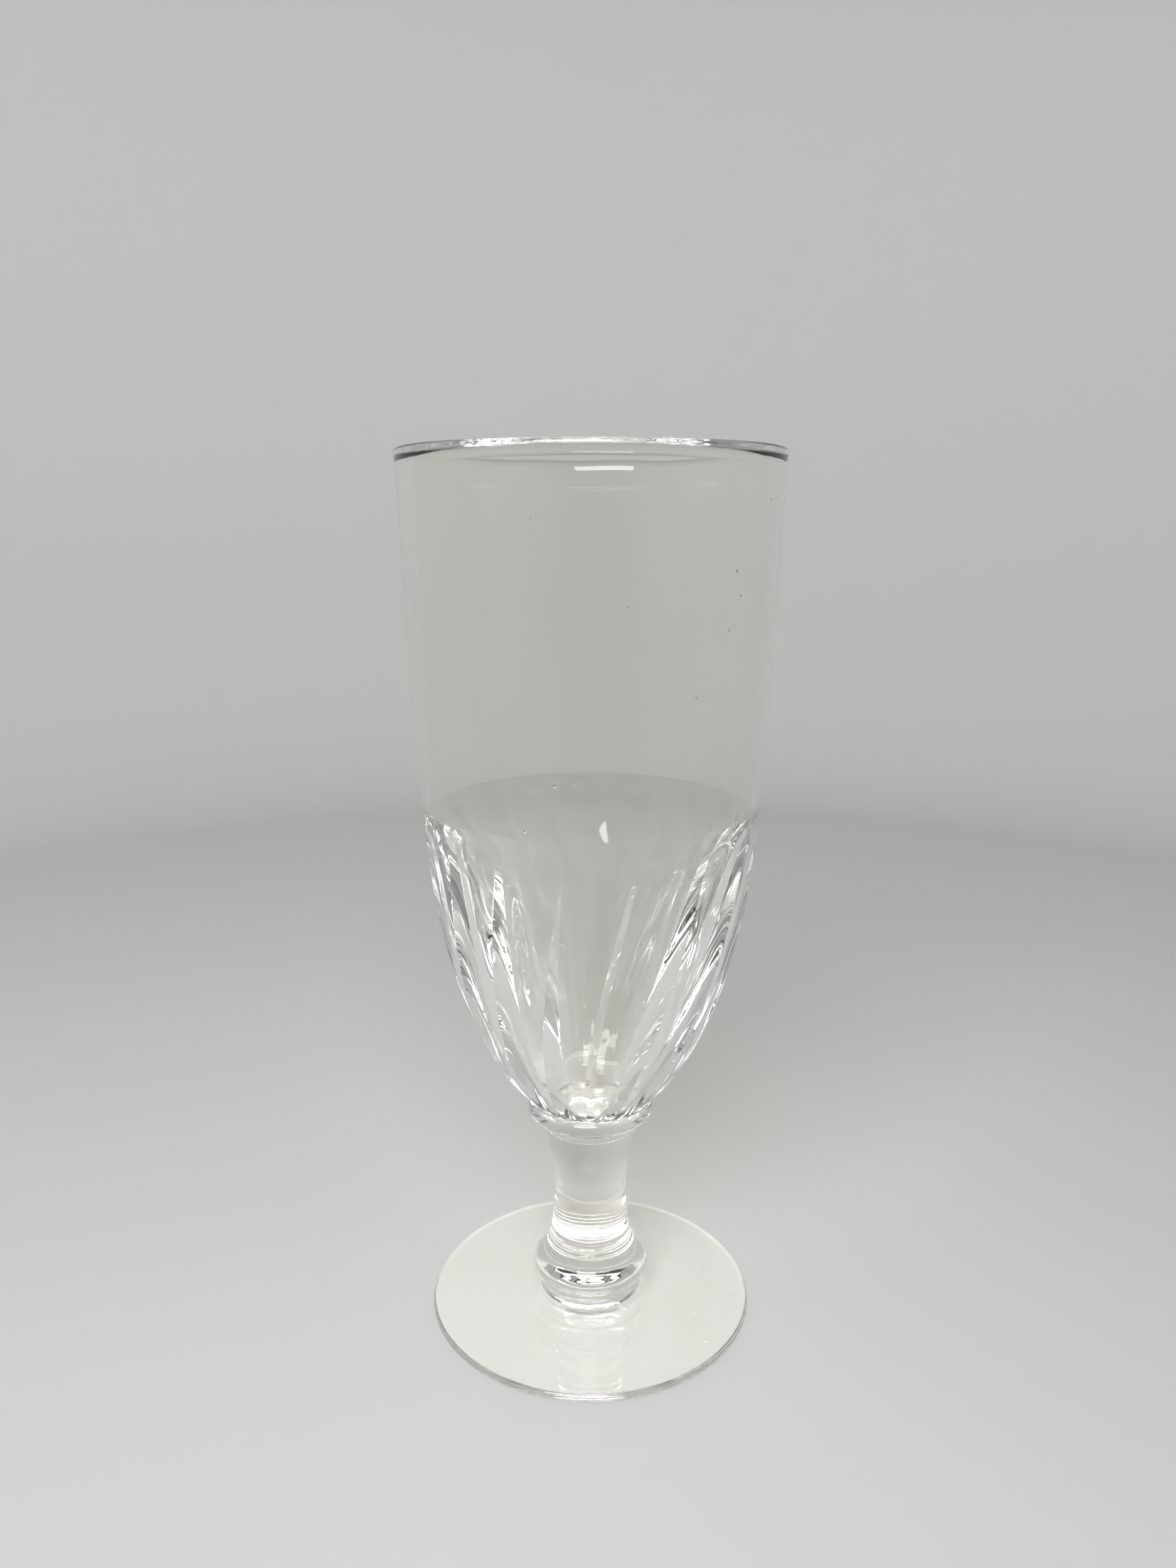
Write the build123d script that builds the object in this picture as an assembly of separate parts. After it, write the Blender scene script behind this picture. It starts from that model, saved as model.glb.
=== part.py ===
from build123d import *
import math
import os

# A thick-walled, footed drinking glass in clear soda glass. Its bowl was blown into a mould,
# then joined hot to a collar, a short stem, a knop and a flat foot.
# Millimetres, +Z up. The origin is the middle of the foot's underside.
# All pieces are turned about Z, except the lower bowl, which carries twisted panels.

# Heights of the joints between the pieces
TOTAL_HEIGHT = 170.0
BOWL_BASE = 44.8
COLLAR_BASE = 39.0
STEM_BASE = 16.4
KNOP_BASE = 3.0

# Bowl outlines, outside and inside: a gently tapered wall that closes in as a superellipse.
# radius is the wall's radius at WALL_TOP, taper its change for each millimetre of height,
# shoulder the height where it starts to close in, and tip the height where it would reach Z.
# fullness and roundness shape the curve between the two.
WALL_TOP = 167.3
OUTSIDE = dict(
    radius=34.65, taper=0.0319, shoulder=WALL_TOP, tip=38.23, fullness=4.76, roundness=1.558
)
INSIDE = dict(radius=31.5, taper=0.026, shoulder=106.0, tip=48.0, fullness=1.15, roundness=1.5)
OUTLINE_STEPS = 16

# Fire-polished rim, with a slight bead on its outer side
CREST_RADIUS = 34.0
BEAD_RADIUS = 34.9
BEAD_HEIGHT = 169.1

# Panels pressed into the lower bowl, which wind round it as they go down
PANEL_COUNT = 16
PANEL_PITCH = 360.0 / PANEL_COUNT
PANEL_TOP = 104.0
PANEL_ARCH = 101.0
PANEL_FULL = 97.0
PANEL_LOW = 43.8
PANEL_LEVELS = 10
PANEL_DEPTH = 0.027
PANEL_CLEARANCE = 0.012
CUTTER_RADIUS = 42.0
PANEL_RISE = 0.035
TWIST_PER_MM = 0.33
RIDGE_BEARING = -97.5
RIDGE_BEARING_HEIGHT = 100.0

# Collar between the bowl and the stem
COLLAR_NECK_RADIUS = 9.1
COLLAR_UNDERSIDE = (10.4, 40.6)
COLLAR_BELLY = (12.6, 43.1)
COLLAR_TOP_RADIUS = 11.7

# Solid, waisted stem
STEM_SHOULDER = (8.2, 34.0)
STEM_WAIST = (7.3, 25.5)
STEM_FOOT_RADIUS = 7.9

# Knop with small steps under the stem, on the foot
KNOP_STEPS = [(8.15, 15.9), (8.4, 14.8), (8.85, 13.6)]
STEP_DROP = 0.25
KNOP_SHOULDER = (9.95, 11.4)
KNOP_BELLY = (11.6, 8.2)
KNOP_UNDERSIDE = (10.6, 5.4)
KNOP_BASE_RADIUS = 10.2

# Thin round foot
FOOT_RADIUS = 32.5
FOOT_EDGE = 1.7
FOOT_MIDDLE_RADIUS = 13.0
FOOT_MIDDLE = 2.5


def bowl_radius(height, shape):
    """Radius of a bowl outline at a height."""
    reach = (shape["shoulder"] - height) / (shape["shoulder"] - shape["tip"])
    reach = min(max(reach, 0.0), 1.0)
    wall = shape["radius"] + shape["taper"] * (height - WALL_TOP)
    return wall * (1.0 - reach ** shape["fullness"]) ** (1.0 / shape["roundness"])


def bowl_outline(shape, low):
    """Points of a bowl outline from a low height up to its shoulder, closer where it curves most."""
    span = shape["shoulder"] - shape["tip"]
    end = math.asin(((shape["shoulder"] - low) / span) ** (shape["fullness"] / 2.0))
    points = []
    for step in range(OUTLINE_STEPS + 1):
        turn = end * (1.0 - step / OUTLINE_STEPS)
        height = shape["shoulder"] - span * math.sin(turn) ** (2.0 / shape["fullness"])
        points.append((bowl_radius(height, shape), height))
    return points


def turned(outline):
    """Solid of revolution about Z of a closed outline drawn as (radius, height)."""
    return revolve(Plane.XZ * make_face(outline), Axis.Z)


def bowl_body():
    """Bowl before its panels are pressed and its cavity is made."""
    outside = bowl_outline(OUTSIDE, BOWL_BASE)
    edges = [
        Line((0, BOWL_BASE), outside[0]),
        Spline(outside),
        TangentArc(
            (BEAD_RADIUS, BEAD_HEIGHT), (OUTSIDE["radius"], WALL_TOP), tangent=(0, -1)
        ),
        EllipticalCenterArc(
            (CREST_RADIUS, BEAD_HEIGHT),
            BEAD_RADIUS - CREST_RADIUS,
            TOTAL_HEIGHT - BEAD_HEIGHT,
            arc_size=90,
        ),
        Line((CREST_RADIUS, TOTAL_HEIGHT), (0, TOTAL_HEIGHT)),
        Line((0, TOTAL_HEIGHT), (0, BOWL_BASE)),
    ]
    return turned(edges)


def bowl_cavity():
    """Space inside the bowl, up to the rim's crest."""
    inside = bowl_outline(INSIDE, INSIDE["tip"])
    edges = [
        Spline(inside),
        Line(inside[-1], (INSIDE["radius"], WALL_TOP)),
        EllipticalCenterArc(
            (CREST_RADIUS, WALL_TOP),
            CREST_RADIUS - INSIDE["radius"],
            TOTAL_HEIGHT - WALL_TOP,
            start_angle=90,
            arc_size=90,
        ),
        Line((CREST_RADIUS, TOTAL_HEIGHT), (0, TOTAL_HEIGHT)),
        Line((0, TOTAL_HEIGHT), inside[0]),
    ]
    return turned(edges)


def panel_depth(height):
    """Depth of a panel's middle below the round bowl, as a share of the bowl's radius.

    Above PANEL_FULL the panel runs out through the bowl's surface, which arches its top.
    """
    fade = min(max((height - PANEL_FULL) / (PANEL_TOP - PANEL_FULL), 0.0), 1.0)
    return PANEL_DEPTH - (PANEL_DEPTH + PANEL_CLEARANCE) * fade * fade


def ridge_bearing(height):
    """Bearing of the first ridge about Z, in degrees."""
    return RIDGE_BEARING - TWIST_PER_MM * (RIDGE_BEARING_HEIGHT - height)


def at_bearing(radius, bearing, height):
    """Point at a radius and bearing about Z."""
    turn = math.radians(bearing)
    return (radius * math.cos(turn), radius * math.sin(turn), height)


def panel_section(height):
    """Section of the panelled body: one shallow concave arc for each panel."""
    round_radius = bowl_radius(height, OUTSIDE)
    middle = round_radius * (1.0 - panel_depth(height))
    corner = middle + round_radius * PANEL_RISE
    arcs = []
    for panel in range(PANEL_COUNT):
        start = ridge_bearing(height) + panel * PANEL_PITCH
        arcs.append(
            ThreePointArc(
                at_bearing(corner, start, height),
                at_bearing(middle, start + PANEL_PITCH / 2.0, height),
                at_bearing(corner, start + PANEL_PITCH, height),
            )
        )
    return Wire(arcs)


def panel_cutter():
    """What the panels take away: a thick ring round the twisted, many-sided body."""
    step = (PANEL_FULL - PANEL_LOW) / (PANEL_LEVELS - 1)
    heights = [PANEL_LOW + level * step for level in range(PANEL_LEVELS)] + [PANEL_ARCH, PANEL_TOP]
    body = Solid.make_loft([panel_section(height) for height in heights])
    ring = Pos(0, 0, PANEL_LOW) * Cylinder(
        CUTTER_RADIUS,
        PANEL_TOP - PANEL_LOW,
        align=(Align.CENTER, Align.CENTER, Align.MIN),
    )
    return ring - body


def bowl():
    """Bowl with its twisted panels and its cavity."""
    return bowl_body() - panel_cutter() - bowl_cavity()


def bowl_collar():
    """Rounded disc that the bowl stands on."""
    neck = (COLLAR_NECK_RADIUS, COLLAR_BASE)
    top = (COLLAR_TOP_RADIUS, BOWL_BASE)
    edges = [
        Line((0, COLLAR_BASE), neck),
        Spline(neck, COLLAR_UNDERSIDE, COLLAR_BELLY, top),
        Line(top, (0, BOWL_BASE)),
        Line((0, BOWL_BASE), (0, COLLAR_BASE)),
    ]
    return turned(edges)


def stem():
    """Short solid stem with a waist."""
    top = (COLLAR_NECK_RADIUS, COLLAR_BASE)
    bottom = (STEM_FOOT_RADIUS, STEM_BASE)
    edges = [
        Line((0, STEM_BASE), bottom),
        Spline(bottom, STEM_WAIST, STEM_SHOULDER, top),
        Line(top, (0, COLLAR_BASE)),
        Line((0, COLLAR_BASE), (0, STEM_BASE)),
    ]
    return turned(edges)


def base_knop():
    """Bell-shaped knop with three small steps at its top."""
    start = (STEM_FOOT_RADIUS, STEM_BASE)
    corners = [start]
    for radius, height in KNOP_STEPS:
        corners.append((corners[-1][0], height + STEP_DROP))
        corners.append((radius, height))
    base = (KNOP_BASE_RADIUS, KNOP_BASE)
    edges = [
        Polyline(*corners),
        Spline(corners[-1], KNOP_SHOULDER, KNOP_BELLY, KNOP_UNDERSIDE, base),
        Line(base, (0, KNOP_BASE)),
        Line((0, KNOP_BASE), (0, STEM_BASE)),
        Line((0, STEM_BASE), start),
    ]
    return turned(edges)


def foot():
    """Thin flat foot that rises a little to its middle, with a rounded edge."""
    half_edge = FOOT_EDGE / 2.0
    rim_middle = (FOOT_RADIUS, half_edge)
    flat = (FOOT_RADIUS - half_edge, 0)
    edge_top = (FOOT_RADIUS - half_edge, FOOT_EDGE)
    edges = [
        Line((0, 0), flat),
        ThreePointArc(flat, rim_middle, edge_top),
        Spline(
            edge_top,
            (FOOT_MIDDLE_RADIUS, FOOT_MIDDLE),
            (KNOP_BASE_RADIUS, KNOP_BASE),
        ),
        Line((KNOP_BASE_RADIUS, KNOP_BASE), (0, KNOP_BASE)),
        Line((0, KNOP_BASE), (0, 0)),
    ]
    return turned(edges)


pieces = {
    "bowl": bowl(),
    "bowl_collar": bowl_collar(),
    "stem": stem(),
    "base_knop": base_knop(),
    "foot": foot(),
}

os.makedirs("parts", exist_ok=True)
for name, piece in pieces.items():
    export_step(piece, f"parts/{name}.step")
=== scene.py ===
import bpy
import math
import random
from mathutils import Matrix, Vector, noise


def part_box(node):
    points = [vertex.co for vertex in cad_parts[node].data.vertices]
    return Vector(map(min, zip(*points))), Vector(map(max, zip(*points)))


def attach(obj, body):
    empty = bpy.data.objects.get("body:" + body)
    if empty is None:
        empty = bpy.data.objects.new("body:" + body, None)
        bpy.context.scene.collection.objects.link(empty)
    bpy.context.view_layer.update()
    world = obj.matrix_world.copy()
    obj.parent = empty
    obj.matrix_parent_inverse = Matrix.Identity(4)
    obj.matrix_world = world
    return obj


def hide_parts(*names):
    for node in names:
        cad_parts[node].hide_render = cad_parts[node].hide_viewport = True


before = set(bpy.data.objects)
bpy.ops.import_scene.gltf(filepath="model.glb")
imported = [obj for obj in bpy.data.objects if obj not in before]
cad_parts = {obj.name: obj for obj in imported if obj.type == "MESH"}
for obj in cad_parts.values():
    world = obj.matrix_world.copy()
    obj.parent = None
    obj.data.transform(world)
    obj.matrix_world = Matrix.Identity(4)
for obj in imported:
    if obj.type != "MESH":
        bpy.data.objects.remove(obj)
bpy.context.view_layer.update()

# A footed drinking glass. Five glass skins stand for the five CAD nodes, on the same outlines. They
# meet at welded rings, where light passes from one to the next as it does in fused glass.
# Lengths are in metres.
MM = 0.001
RANDOM_SEED = 7
random.seed(RANDOM_SEED)

# Heights of the joints between the pieces, from the frame
RIM_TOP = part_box("bowl")[1].z
BOWL_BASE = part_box("bowl")[0].z
COLLAR_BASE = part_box("bowl_collar")[0].z
STEM_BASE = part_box("stem")[0].z
KNOP_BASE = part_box("base_knop")[0].z
FOOT_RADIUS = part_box("foot")[1].x

# Bowl outlines, as in the CAD source: a tapered wall that closes in as a superellipse
WALL_TOP = 167.3 * MM
OUTSIDE = dict(
    radius=34.65 * MM, taper=0.0319, shoulder=WALL_TOP, tip=38.23 * MM, fullness=4.76, roundness=1.558
)
INSIDE = dict(
    radius=31.5 * MM, taper=0.026, shoulder=106.0 * MM, tip=48.0 * MM, fullness=1.15, roundness=1.5
)
CREST_RADIUS = 34.0 * MM
BEAD_RADIUS = 34.9 * MM
BEAD_HEIGHT = 169.1 * MM

# Panels of the lower bowl, which wind round it as they go down
PANEL_COUNT = 16
PANEL_PITCH = 2.0 * math.pi / PANEL_COUNT
PANEL_TOP = 104.0 * MM
PANEL_FULL = 97.0 * MM
PANEL_END = 1.5 * MM
PANEL_DEPTH = 0.025
PANEL_CLEARANCE = 0.012
PANEL_RISE = 0.030
RIDGE_SOFTNESS = 0.020
TWIST_PER_METRE = math.radians(330.0)
RIDGE_BEARING = math.radians(-97.5)
RIDGE_BEARING_HEIGHT = 100.0 * MM

# Unevenness of the mould and of the hot glass
RIDGE_SHIFT = math.radians(1.5)
RIDGE_SHIFT_WAVES = 3
RIDGE_SHIFT_START = math.radians(-73.0)
INNER_WAVE = 0.014
SWELL_DEPTH = 0.035 * MM
SWELL_SIZE = 9.0 * MM

# Mesh density
COLUMNS_PER_PANEL = 18
COLUMNS = PANEL_COUNT * COLUMNS_PER_PANEL
PANEL_ROWS = 150
CAVITY_ROWS = 90
WALL_ROWS = 26
RIM_ROWS = 8
COLLAR_ROWS = 30
STEM_ROWS = 60
KNOP_ROWS = 110
FOOT_FLAT_ROWS = 12
FOOT_EDGE_ROWS = 13
FOOT_TOP_ROWS = 60

# Air seeds in the bowl: bearing in degrees, height, depth under the outside and radius in mm
SEEDS = [
    (-45.3, 149.7, 1.2, 0.30),
    (-43.2, 145.7, 1.0, 0.24),
    (-47.0, 140.1, 1.4, 0.22),
    (-22.6, 161.2, 1.1, 0.26),
    (-100.7, 115.6, 1.3, 0.34),
    (-110.4, 107.5, 1.5, 0.28),
    (-155.2, 94.9, 1.6, 0.30),
    (-48.6, 76.2, 2.0, 0.22),
    (-92.3, 75.0, 1.8, 0.30),
    (-79.2, 68.3, 1.2, 0.24),
    (-68.9, 75.3, 1.5, 0.22),
    (-101.0, 62.7, 1.4, 0.24),
]
SEED_SIDES = 10
SEED_RINGS = 6

# Loose seeds, placed at random on the back: their number and the ranges of their bearing, of their
# height as a share of the glass's, and of their depth and radius
LOOSE_SEEDS = 16
LOOSE_BEARINGS = (0.0, math.radians(180.0))
LOOSE_HEIGHTS = (0.4, 0.96)
LOOSE_DEPTHS = (0.9 * MM, 1.6 * MM)
LOOSE_RADII = (0.12 * MM, 0.28 * MM)

# Outlines of the turned pieces, as (radius, height) in mm, from the bottom up. The collar's goes
# on to the bowl.
COLLAR_BASE_RADIUS = 9.1
STEM_BASE_RADIUS = 7.9
KNOP_BASE_RADIUS = 10.2
KNOP_OUTLINE = [
    (KNOP_BASE_RADIUS, KNOP_BASE / MM),
    (10.1, 4.3),
    (10.6, 5.6),
    (11.3, 6.9),
    (11.58, 8.1),
    (11.45, 9.1),
    (10.85, 10.2),
    (9.95, 11.4),
    (9.3, 12.4),
    (8.85, 13.3),
    (8.8, 13.9),
    (8.42, 14.3),
    (8.38, 14.9),
    (8.12, 15.3),
    (8.1, 15.9),
    (STEM_BASE_RADIUS, STEM_BASE / MM),
]
STEM_OUTLINE = [
    (STEM_BASE_RADIUS, STEM_BASE / MM),
    (7.57, 19.5),
    (7.34, 23.0),
    (7.3, 27.0),
    (7.62, 31.0),
    (8.2, 34.0),
    (8.8, 36.7),
    (COLLAR_BASE_RADIUS, COLLAR_BASE / MM),
]
COLLAR_OUTLINE = [
    (COLLAR_BASE_RADIUS, COLLAR_BASE / MM),
    (9.4, 39.9),
    (10.4, 40.6),
    (11.6, 41.4),
    (12.35, 42.3),
    (12.58, 43.2),
    (12.3, 44.2),
]
FOOT_TOP = [(22.0, 1.95), (13.0, 2.4), (KNOP_BASE_RADIUS, KNOP_BASE / MM)]
FOOT_EDGE = 1.7 * MM
FOOT_INNER_ROW = 2.0 * MM


def bowl_radius(height, shape):
    """Radius of a bowl outline at a height."""
    reach = (shape["shoulder"] - height) / (shape["shoulder"] - shape["tip"])
    reach = min(max(reach, 0.0), 1.0)
    wall = shape["radius"] + shape["taper"] * (height - WALL_TOP)
    return wall * (1.0 - reach ** shape["fullness"]) ** (1.0 / shape["roundness"])


def smooth_step(value):
    """Rise from 0 to 1 that starts and ends level."""
    value = min(max(value, 0.0), 1.0)
    return value * value * (3.0 - 2.0 * value)


def soft_min(first, second, softness):
    """Smaller of two lengths, rounded over where they cross."""
    blend = min(max(0.5 + 0.5 * (second - first) / softness, 0.0), 1.0)
    return second + (first - second) * blend - softness * blend * (1.0 - blend)


def spaced(start, end, count):
    """Evenly spaced values from start to end, both included."""
    return [start + (end - start) * step / (count - 1) for step in range(count)]


def panel_depth(height):
    """Depth of a panel's middle below the round bowl, as a share of the radius."""
    top = min(max((height - PANEL_FULL) / (PANEL_TOP - PANEL_FULL), 0.0), 1.0) ** 2
    end = 1.0 - smooth_step((height - BOWL_BASE) / PANEL_END)
    return PANEL_DEPTH - (PANEL_DEPTH + PANEL_CLEARANCE) * max(top, end)


def column(index, height):
    """Bearing of a mesh column, and how far across its panel it lies, from -1 to 1.

    Columns crowd towards the ridges and follow their twist.
    """
    panel, place = divmod(index, COLUMNS_PER_PANEL)
    across = math.sin(math.pi * (place / COLUMNS_PER_PANEL - 0.5))
    twist = TWIST_PER_METRE * (RIDGE_BEARING_HEIGHT - min(height, PANEL_TOP))
    bearing = RIDGE_BEARING - twist + (panel + 0.5 + 0.5 * across) * PANEL_PITCH
    shift = RIDGE_SHIFT * math.sin(RIDGE_SHIFT_WAVES * (bearing - RIDGE_SHIFT_START))
    return bearing + shift, across


def at_bearing(radius, bearing, height):
    """Point at a radius and bearing about Z."""
    return Vector((radius * math.cos(bearing), radius * math.sin(bearing), height))


def ring(radius_across, height):
    """Row of points all round the glass, where radius_across gives the radius across a panel."""
    row = []
    for index in range(COLUMNS):
        bearing, across = column(index, height)
        row.append(at_bearing(radius_across(across), bearing, height))
    return row


def round_row(radius, height):
    """Round row of points."""
    return ring(lambda across: radius, height)


def panel_row(height):
    """Row round the outside of the panelled bowl."""
    round_radius = bowl_radius(height, OUTSIDE)
    middle = round_radius * (1.0 - panel_depth(height))

    def radius(across):
        panel = middle + PANEL_RISE * round_radius * across * across
        return soft_min(round_radius, panel, RIDGE_SOFTNESS * round_radius)

    return ring(radius, height)


def cavity_row(height):
    """Row round the cavity, whose wall follows the panels outside, softened."""
    round_radius = bowl_radius(height, INSIDE)
    wave = INNER_WAVE * smooth_step((PANEL_TOP - height) / (PANEL_TOP - PANEL_FULL))

    def radius(across):
        return round_radius * (1.0 + wave * (across * across - 1.0 / 3.0))

    return ring(radius, height)


def swell(rows):
    """Gentle unevenness of hot-worked glass, inwards only."""
    for row in rows:
        for point in row:
            inward = 0.5 * SWELL_DEPTH * (1.0 + noise.noise(point / SWELL_SIZE))
            reach = math.hypot(point.x, point.y)
            point.x -= point.x / reach * inward
            point.y -= point.y / reach * inward
    return rows


def outline(points, count):
    """Smooth open curve through (radius, height) points, by Catmull-Rom."""
    line = [Vector(point) for point in points]
    ends = [2.0 * line[0] - line[1], *line, 2.0 * line[-1] - line[-2]]
    curve = []
    for place in spaced(0.0, len(line) - 1.0, count):
        first = min(int(place), len(line) - 2)
        t = place - first
        a, b, c, d = ends[first : first + 4]
        straight = 2 * b + (c - a) * t
        bend = (2 * a - 5 * b + 4 * c - d) * t**2 + (3 * b - a - 3 * c + d) * t**3
        curve.append(0.5 * (straight + bend))
    return curve


def turned_rows(points, count):
    """Rows of a turned piece whose outline is given in mm."""
    return [round_row(point.x * MM, point.y * MM) for point in outline(points, count)]


def bubble(centre, radius):
    """Small closed void, with its faces turned inwards."""
    verts = [centre + Vector((0.0, 0.0, -radius)), centre + Vector((0.0, 0.0, radius))]
    for step in range(1, SEED_RINGS):
        tilt = math.pi * (step / SEED_RINGS - 0.5)
        for side in range(SEED_SIDES):
            turn = 2.0 * math.pi * side / SEED_SIDES
            verts.append(centre + at_bearing(radius * math.cos(tilt), turn, radius * math.sin(tilt)))
    faces = []
    last = 2 + (SEED_RINGS - 2) * SEED_SIDES
    for side in range(SEED_SIDES):
        after = (side + 1) % SEED_SIDES
        faces.append((0, 2 + side, 2 + after))
        faces.append((1, last + after, last + side))
        for step in range(SEED_RINGS - 2):
            low = 2 + step * SEED_SIDES
            high = low + SEED_SIDES
            faces.append((low + side, high + side, high + after, low + after))
    return verts, faces


def seed_bubbles():
    """Air seeds in the bowl's wall: those that stand out, and a few loose ones."""
    spots = []
    for bearing, height, deep, size in SEEDS:
        spots.append((math.radians(bearing), height * MM, deep * MM, size * MM))
    for _ in range(LOOSE_SEEDS):
        bearing = random.uniform(*LOOSE_BEARINGS)
        height = random.uniform(*LOOSE_HEIGHTS) * RIM_TOP
        deep = random.uniform(*LOOSE_DEPTHS)
        size = random.uniform(*LOOSE_RADII)
        spots.append((bearing, height, deep, size))
    bubbles = []
    for bearing, height, deep, size in spots:
        radius = bowl_radius(height, OUTSIDE) * (1.0 - max(panel_depth(height), 0.0)) - deep
        bubbles.append(bubble(at_bearing(radius, bearing, height), size))
    return bubbles


def skin(name, rows, bottom="weld", top="weld", voids=()):
    """Closed mesh from rows of points, listed from the bottom up the outside.

    A weld end is a flat cap in the second material. A pole end closes to one point in glass.
    """
    verts = [point for row in rows for point in row]
    faces, marks = [], []
    for level in range(len(rows) - 1):
        low, high = level * COLUMNS, (level + 1) * COLUMNS
        for index in range(COLUMNS):
            after = (index + 1) % COLUMNS
            faces.append((low + index, low + after, high + after, high + index))
            marks.append(0)
    for end, start in ((bottom, 0), (top, (len(rows) - 1) * COLUMNS)):
        hub = len(verts)
        verts.append(sum(verts[start : start + COLUMNS], Vector()) / COLUMNS)
        for index in range(COLUMNS):
            edge = (start + index, start + (index + 1) % COLUMNS)
            faces.append((hub, *(edge[::-1] if start == 0 else edge)))
            marks.append(1 if end == "weld" else 0)
    for void_verts, void_faces in voids:
        first = len(verts)
        verts += void_verts
        faces += [tuple(first + corner for corner in face) for face in void_faces]
        marks += [0] * len(void_faces)
    mesh = bpy.data.meshes.new(name)
    mesh.from_pydata([tuple(vert) for vert in verts], [], faces)
    mesh.polygons.foreach_set("material_index", marks)
    mesh.polygons.foreach_set("use_smooth", [mark == 0 for mark in marks])
    mesh.update()
    piece = bpy.data.objects.new(name, mesh)
    bpy.context.collection.objects.link(piece)
    return piece


def rim_rows():
    """Rows over the rim: its outer bead, its crest and its inner curve."""
    rows = []
    for turn in spaced(0.0, math.pi / 2.0, RIM_ROWS)[1:]:
        radius = OUTSIDE["radius"] + (BEAD_RADIUS - OUTSIDE["radius"]) * math.sin(turn) ** 2
        rows.append(round_row(radius, WALL_TOP + (BEAD_HEIGHT - WALL_TOP) * turn * 2.0 / math.pi))
    for turn in spaced(0.0, math.pi / 2.0, RIM_ROWS)[1:]:
        radius = CREST_RADIUS + (BEAD_RADIUS - CREST_RADIUS) * math.cos(turn)
        rows.append(round_row(radius, BEAD_HEIGHT + (RIM_TOP - BEAD_HEIGHT) * math.sin(turn)))
    for turn in spaced(math.pi / 2.0, 0.0, RIM_ROWS)[1:]:
        radius = CREST_RADIUS - (CREST_RADIUS - INSIDE["radius"]) * math.cos(turn)
        rows.append(round_row(radius, WALL_TOP + (RIM_TOP - WALL_TOP) * math.sin(turn)))
    return rows


def cavity_rows():
    """Rows down the inside, closer where it curves most."""
    shoulder, tip = INSIDE["shoulder"], INSIDE["tip"]
    rows = [cavity_row(height) for height in spaced(WALL_TOP, shoulder, WALL_ROWS)[1:]]
    for turn in spaced(0.0, math.pi / 2.0, CAVITY_ROWS)[1:-1]:
        reach = math.sin(turn) ** (2.0 / INSIDE["fullness"])
        rows.append(cavity_row(shoulder - (shoulder - tip) * reach))
    return rows


def bowl_rows():
    """Rows up the outside of the bowl, over the rim and down the inside."""
    outside = [panel_row(height) for height in spaced(BOWL_BASE, PANEL_TOP, PANEL_ROWS)]
    for height in spaced(PANEL_TOP, WALL_TOP, WALL_ROWS)[1:]:
        outside.append(round_row(bowl_radius(height, OUTSIDE), height))
    weld, body = outside[:1], outside[1:]
    return weld + swell(body) + rim_rows() + swell(cavity_rows())


def foot_rows():
    """Rows from the middle of the foot's underside, round its edge and up to the knop."""
    half_edge = FOOT_EDGE / 2.0
    flat = FOOT_RADIUS - half_edge
    rows = [round_row(radius, 0.0) for radius in spaced(FOOT_INNER_ROW, flat, FOOT_FLAT_ROWS)]
    for turn in spaced(-math.pi / 2.0, math.pi / 2.0, FOOT_EDGE_ROWS)[1:-1]:
        height = half_edge + half_edge * math.sin(turn)
        rows.append(round_row(flat + half_edge * math.cos(turn), height))
    return rows + turned_rows([(flat / MM, FOOT_EDGE / MM)] + FOOT_TOP, FOOT_TOP_ROWS)


class Nodes:
    """Short way to build one material's nodes."""

    def __init__(self, name):
        self.material = bpy.data.materials.new(name)
        self.material.use_nodes = True
        self.tree = self.material.node_tree
        self.shader = self.tree.nodes["Principled BSDF"]

    def add(self, kind, **inputs):
        """Add a node with these inputs set."""
        node = self.tree.nodes.new(kind)
        for socket, value in inputs.items():
            node.inputs[socket].default_value = value
        return node

    def link(self, out, into):
        self.tree.links.new(out, into)

    def noise(self, scale, detail, stretch=(1.0, 1.0, 1.0), turn=(0.0, 0.0, 0.0)):
        """Noise texture in the object's own space."""
        place = self.add("ShaderNodeTexCoord")
        mapping = self.add("ShaderNodeMapping", Scale=stretch, Rotation=turn)
        texture = self.add("ShaderNodeTexNoise", Scale=scale, Detail=detail)
        self.link(place.outputs["Object"], mapping.inputs["Vector"])
        self.link(mapping.outputs["Vector"], texture.inputs["Vector"])
        return texture.outputs[0]

    def between(self, value, low, high, start, end):
        """Remap a value from low..high to start..end."""
        node = self.add("ShaderNodeMapRange")
        for socket, number in zip(list(node.inputs)[1:5], (low, high, start, end)):
            socket.default_value = number
        self.link(value, node.inputs["Value"])
        return node.outputs["Result"]

    def math(self, operation, first, second):
        """Math node on two inputs, each a number or another node's output."""
        node = self.add("ShaderNodeMath")
        node.operation = operation
        for socket, value in zip(node.inputs, (first, second)):
            if isinstance(value, float):
                socket.default_value = value
            else:
                self.link(value, socket)
        return node.outputs[0]

    def hairlines(self, scale, width, stretch, turn):
        """1 along the thin contour lines of a stretched noise, 0 elsewhere."""
        height = self.math("SUBTRACT", self.noise(scale, SCRATCH_DETAIL, stretch, turn), 0.5)
        return self.between(self.math("ABSOLUTE", height, 0.0), 0.0, width, 1.0, 0.0)

    def sum_of(self, values):
        total = values[0]
        for value in values[1:]:
            total = self.math("ADD", total, value)
        return total


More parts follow.
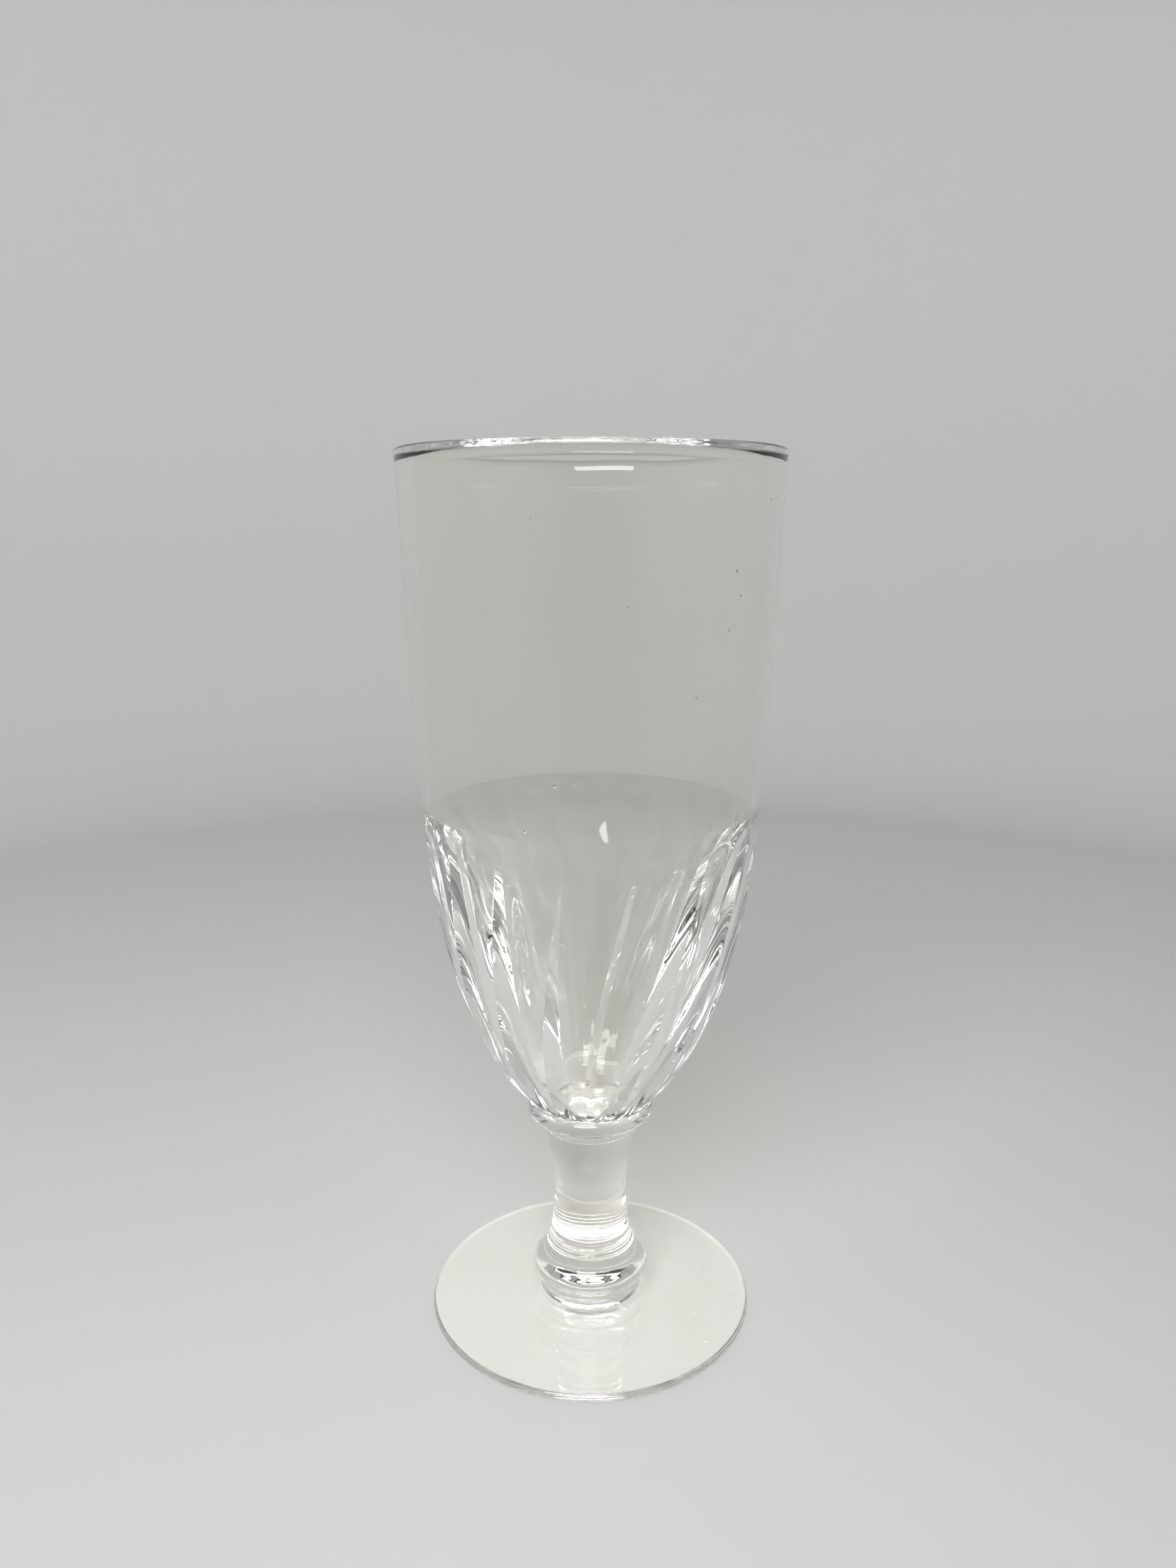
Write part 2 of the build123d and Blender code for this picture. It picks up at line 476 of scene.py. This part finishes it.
# Clear glass
GLASS_IOR = 1.52
CLEAR_TINT = (0.988, 0.984, 0.968, 1.0)
WARM_TINT = (0.972, 0.964, 0.938, 1.0)
SHADOW_TINT = (0.68, 0.68, 0.67, 1.0)
RIPPLES = dict(scale=160.0, detail=1.0)
RIPPLE_STRENGTH = 0.15
RIPPLE_DEPTH = 0.04 * MM

# Noises of the cords, finger marks and dust, and the values between which each comes in
CORDS = dict(scale=70.0, detail=2.0, stretch=(1.0, 1.0, 0.3))
CORD_RANGE = (0.35, 0.7)
SMUDGES = dict(scale=38.0, detail=5.0)
SMUDGE_RANGE = (0.56, 0.78)
DUST = dict(scale=850.0, detail=1.0)
DUST_RANGE = (0.76, 0.80)

# Hair scratches: scale, width, stretch and turn of the noise whose contour lines they are
SCRATCH_DETAIL = 1.0
SCRATCHES = [
    (24.0, 0.0012, (1.0, 1.0, 6.0), (0.9, 0.3, 0.4)),
    (31.0, 0.0010, (1.0, 7.0, 1.0), (0.2, 0.8, 1.1)),
    (27.0, 0.0009, (6.0, 1.0, 1.0), (0.0, 0.1, 0.7)),
]


def glass_material(name, smudge, scratch, dust):
    """Clear soda glass with faint cords of warmer glass.

    smudge, scratch and dust are how rough its finger marks, hair scratches and dust specks are.
    """
    nodes = Nodes(name)
    shader = nodes.shader
    shader.inputs["IOR"].default_value = GLASS_IOR
    shader.inputs["Transmission Weight"].default_value = 1.0
    cords = nodes.between(nodes.noise(**CORDS), *CORD_RANGE, 0.0, 1.0)
    tint = nodes.add("ShaderNodeMix")
    tint.data_type = "RGBA"
    first, second = [socket for socket in tint.inputs if socket.type == "RGBA"]
    first.default_value = CLEAR_TINT
    second.default_value = WARM_TINT
    nodes.link(cords, tint.inputs[0])
    mixed = next(out for out in tint.outputs if out.type == "RGBA")
    nodes.link(mixed, shader.inputs["Base Color"])
    marks = [
        nodes.between(nodes.noise(**SMUDGES), *SMUDGE_RANGE, 0.0, smudge),
        nodes.between(nodes.noise(**DUST), *DUST_RANGE, 0.0, dust),
    ]
    for scale, width, stretch, turn in SCRATCHES:
        lines = nodes.hairlines(scale, width, stretch, turn)
        marks.append(nodes.math("MULTIPLY", lines, scratch))
    nodes.link(nodes.sum_of(marks), shader.inputs["Roughness"])
    bump = nodes.add("ShaderNodeBump", Strength=RIPPLE_STRENGTH, Distance=RIPPLE_DEPTH)
    nodes.link(nodes.noise(**RIPPLES), bump.inputs["Height"])
    nodes.link(bump.outputs["Normal"], shader.inputs["Normal"])
    let_light_through(nodes)
    return nodes.material


def let_light_through(nodes):
    """Clear glass casts a pale shadow, since it lets most of the light through."""
    clear = nodes.add("ShaderNodeBsdfTransparent", Color=SHADOW_TINT)
    mix = nodes.add("ShaderNodeMixShader")
    nodes.link(nodes.add("ShaderNodeLightPath").outputs["Is Shadow Ray"], mix.inputs["Fac"])
    nodes.link(nodes.shader.outputs["BSDF"], mix.inputs[1])
    nodes.link(clear.outputs["BSDF"], mix.inputs[2])
    nodes.link(mix.outputs["Shader"], nodes.tree.nodes["Material Output"].inputs["Surface"])


def weld_material():
    """Joint inside fused glass, which light passes without a sign of it."""
    nodes = Nodes("glass_weld")
    nodes.shader.inputs["Alpha"].default_value = 0.0
    return nodes.material


weld = weld_material()

# Smudge, scratch and dust of each glass: the foot is the most worn
bowl_glass = glass_material("bowl_glass", 0.03, 0.08, 0.10)
stem_glass = glass_material("stem_glass", 0.02, 0.08, 0.10)
foot_glass = glass_material("foot_glass", 0.05, 0.20, 0.30)


def add_piece(name, node, rows, glass, **ends):
    """Skin in glass that stands for a CAD node."""
    piece = skin(name, rows, **ends)
    piece.data.materials.append(glass)
    piece.data.materials.append(weld)
    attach(piece, "root")
    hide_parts(node)


collar_top = (bowl_radius(BOWL_BASE, OUTSIDE) / MM, BOWL_BASE / MM)
add_piece("bowl_skin", "bowl", bowl_rows(), bowl_glass, top="pole", voids=seed_bubbles())
collar_rows = turned_rows(COLLAR_OUTLINE + [collar_top], COLLAR_ROWS)
add_piece("collar_skin", "bowl_collar", collar_rows, stem_glass)
add_piece("stem_skin", "stem", turned_rows(STEM_OUTLINE, STEM_ROWS), stem_glass)
add_piece("knop_skin", "base_knop", turned_rows(KNOP_OUTLINE, KNOP_ROWS), stem_glass)
add_piece("foot_skin", "foot", foot_rows(), foot_glass, bottom="pole")


# Stage: a plain pale floor that sweeps up into a pale wall all round, and one soft light
STAGE_SIDES = 160
FLOOR_REACH = 0.42
COVE_RADIUS = 0.10
COVE_STEPS = 14
WALL_HEIGHT = 0.7
FLOOR_DROP = 0.05 * MM
FLOOR_INNER_LOOP = 0.01 * MM
STAGE_COLOUR = (0.66, 0.66, 0.652, 1.0)
STAGE_ROUGHNESS = 0.9
SOFTBOX_PLACE = (-0.08, -0.38, 0.50)
SOFTBOX_TARGET = (0.0, 0.45, 0.20)
SOFTBOX_SIZE = 0.35
SOFTBOX_POWER = 4.0
WORLD_STRENGTH = 0.04


def stage_sheet(name, loops):
    """Matt sheet between loops of points."""
    count = len(loops[0])
    faces = []
    for level in range(len(loops) - 1):
        for side in range(count):
            after = (side + 1) % count
            low, high = level * count, (level + 1) * count
            faces.append((low + side, low + after, high + after, high + side))
    mesh = bpy.data.meshes.new(name)
    mesh.from_pydata([tuple(point) for loop in loops for point in loop], [], faces)
    mesh.polygons.foreach_set("use_smooth", [True] * len(faces))
    sheet = bpy.data.objects.new(name, mesh)
    bpy.context.collection.objects.link(sheet)
    nodes = Nodes(name)
    nodes.shader.inputs["Base Color"].default_value = STAGE_COLOUR
    nodes.shader.inputs["Roughness"].default_value = STAGE_ROUGHNESS
    mesh.materials.append(nodes.material)


def stage_loop(reach, height):
    """Loop of points round the stage."""
    step = 2.0 * math.pi / STAGE_SIDES
    return [at_bearing(reach, step * side, height) for side in range(STAGE_SIDES)]


def cove():
    """Floor, rounded corner and wall in one sheet."""
    floor = [stage_loop(reach, -FLOOR_DROP) for reach in (FLOOR_INNER_LOOP, FLOOR_REACH)]
    curve = []
    for turn in spaced(0.0, math.pi / 2.0, COVE_STEPS)[1:]:
        reach = FLOOR_REACH + COVE_RADIUS * math.sin(turn)
        curve.append(stage_loop(reach, COVE_RADIUS * (1.0 - math.cos(turn)) - FLOOR_DROP))
    wall = stage_loop(FLOOR_REACH + COVE_RADIUS, WALL_HEIGHT)
    stage_sheet("cove", floor + curve + [wall])


def soft_light(name, place, target, size, power):
    """Square soft light at a place, facing a target."""
    data = bpy.data.lights.new(name, "AREA")
    data.shape = "SQUARE"
    data.size = size
    data.energy = power
    light = bpy.data.objects.new(name, data)
    light.location = place
    light.visible_camera = False
    light.rotation_mode = "QUATERNION"
    light.rotation_quaternion = (Vector(target) - Vector(place)).to_track_quat("-Z", "Y")
    bpy.context.collection.objects.link(light)


cove()
soft_light("softbox", SOFTBOX_PLACE, SOFTBOX_TARGET, SOFTBOX_SIZE, SOFTBOX_POWER)

world = bpy.data.worlds.new("studio")
world.use_nodes = True
background = world.node_tree.nodes["Background"]
background.inputs["Color"].default_value = (1.0, 1.0, 1.0, 1.0)
background.inputs["Strength"].default_value = WORLD_STRENGTH
scene = bpy.context.scene
scene.world = world

# Camera, at the angle and distance the glass is seen from
CAMERA_PLACE = (-0.0005, -0.2177, 0.158)
CAMERA_PITCH_DOWN = 12.7
CAMERA_SENSOR = 36.0
CAMERA_LENS = 27.05
camera_data = bpy.data.cameras.new("camera")
camera_data.sensor_width = CAMERA_SENSOR
camera_data.lens = CAMERA_LENS
camera = bpy.data.objects.new("camera", camera_data)
camera.location = CAMERA_PLACE
camera.rotation_euler = (math.radians(90.0 - CAMERA_PITCH_DOWN), 0.0, 0.0)
bpy.context.collection.objects.link(camera)
scene.camera = camera

# Clear glass needs many bounces, and a plain view of its colours
scene.view_settings.view_transform = "Standard"
scene.cycles.max_bounces = 40
scene.cycles.transmission_bounces = 40
scene.cycles.glossy_bounces = 24
scene.cycles.transparent_max_bounces = 64
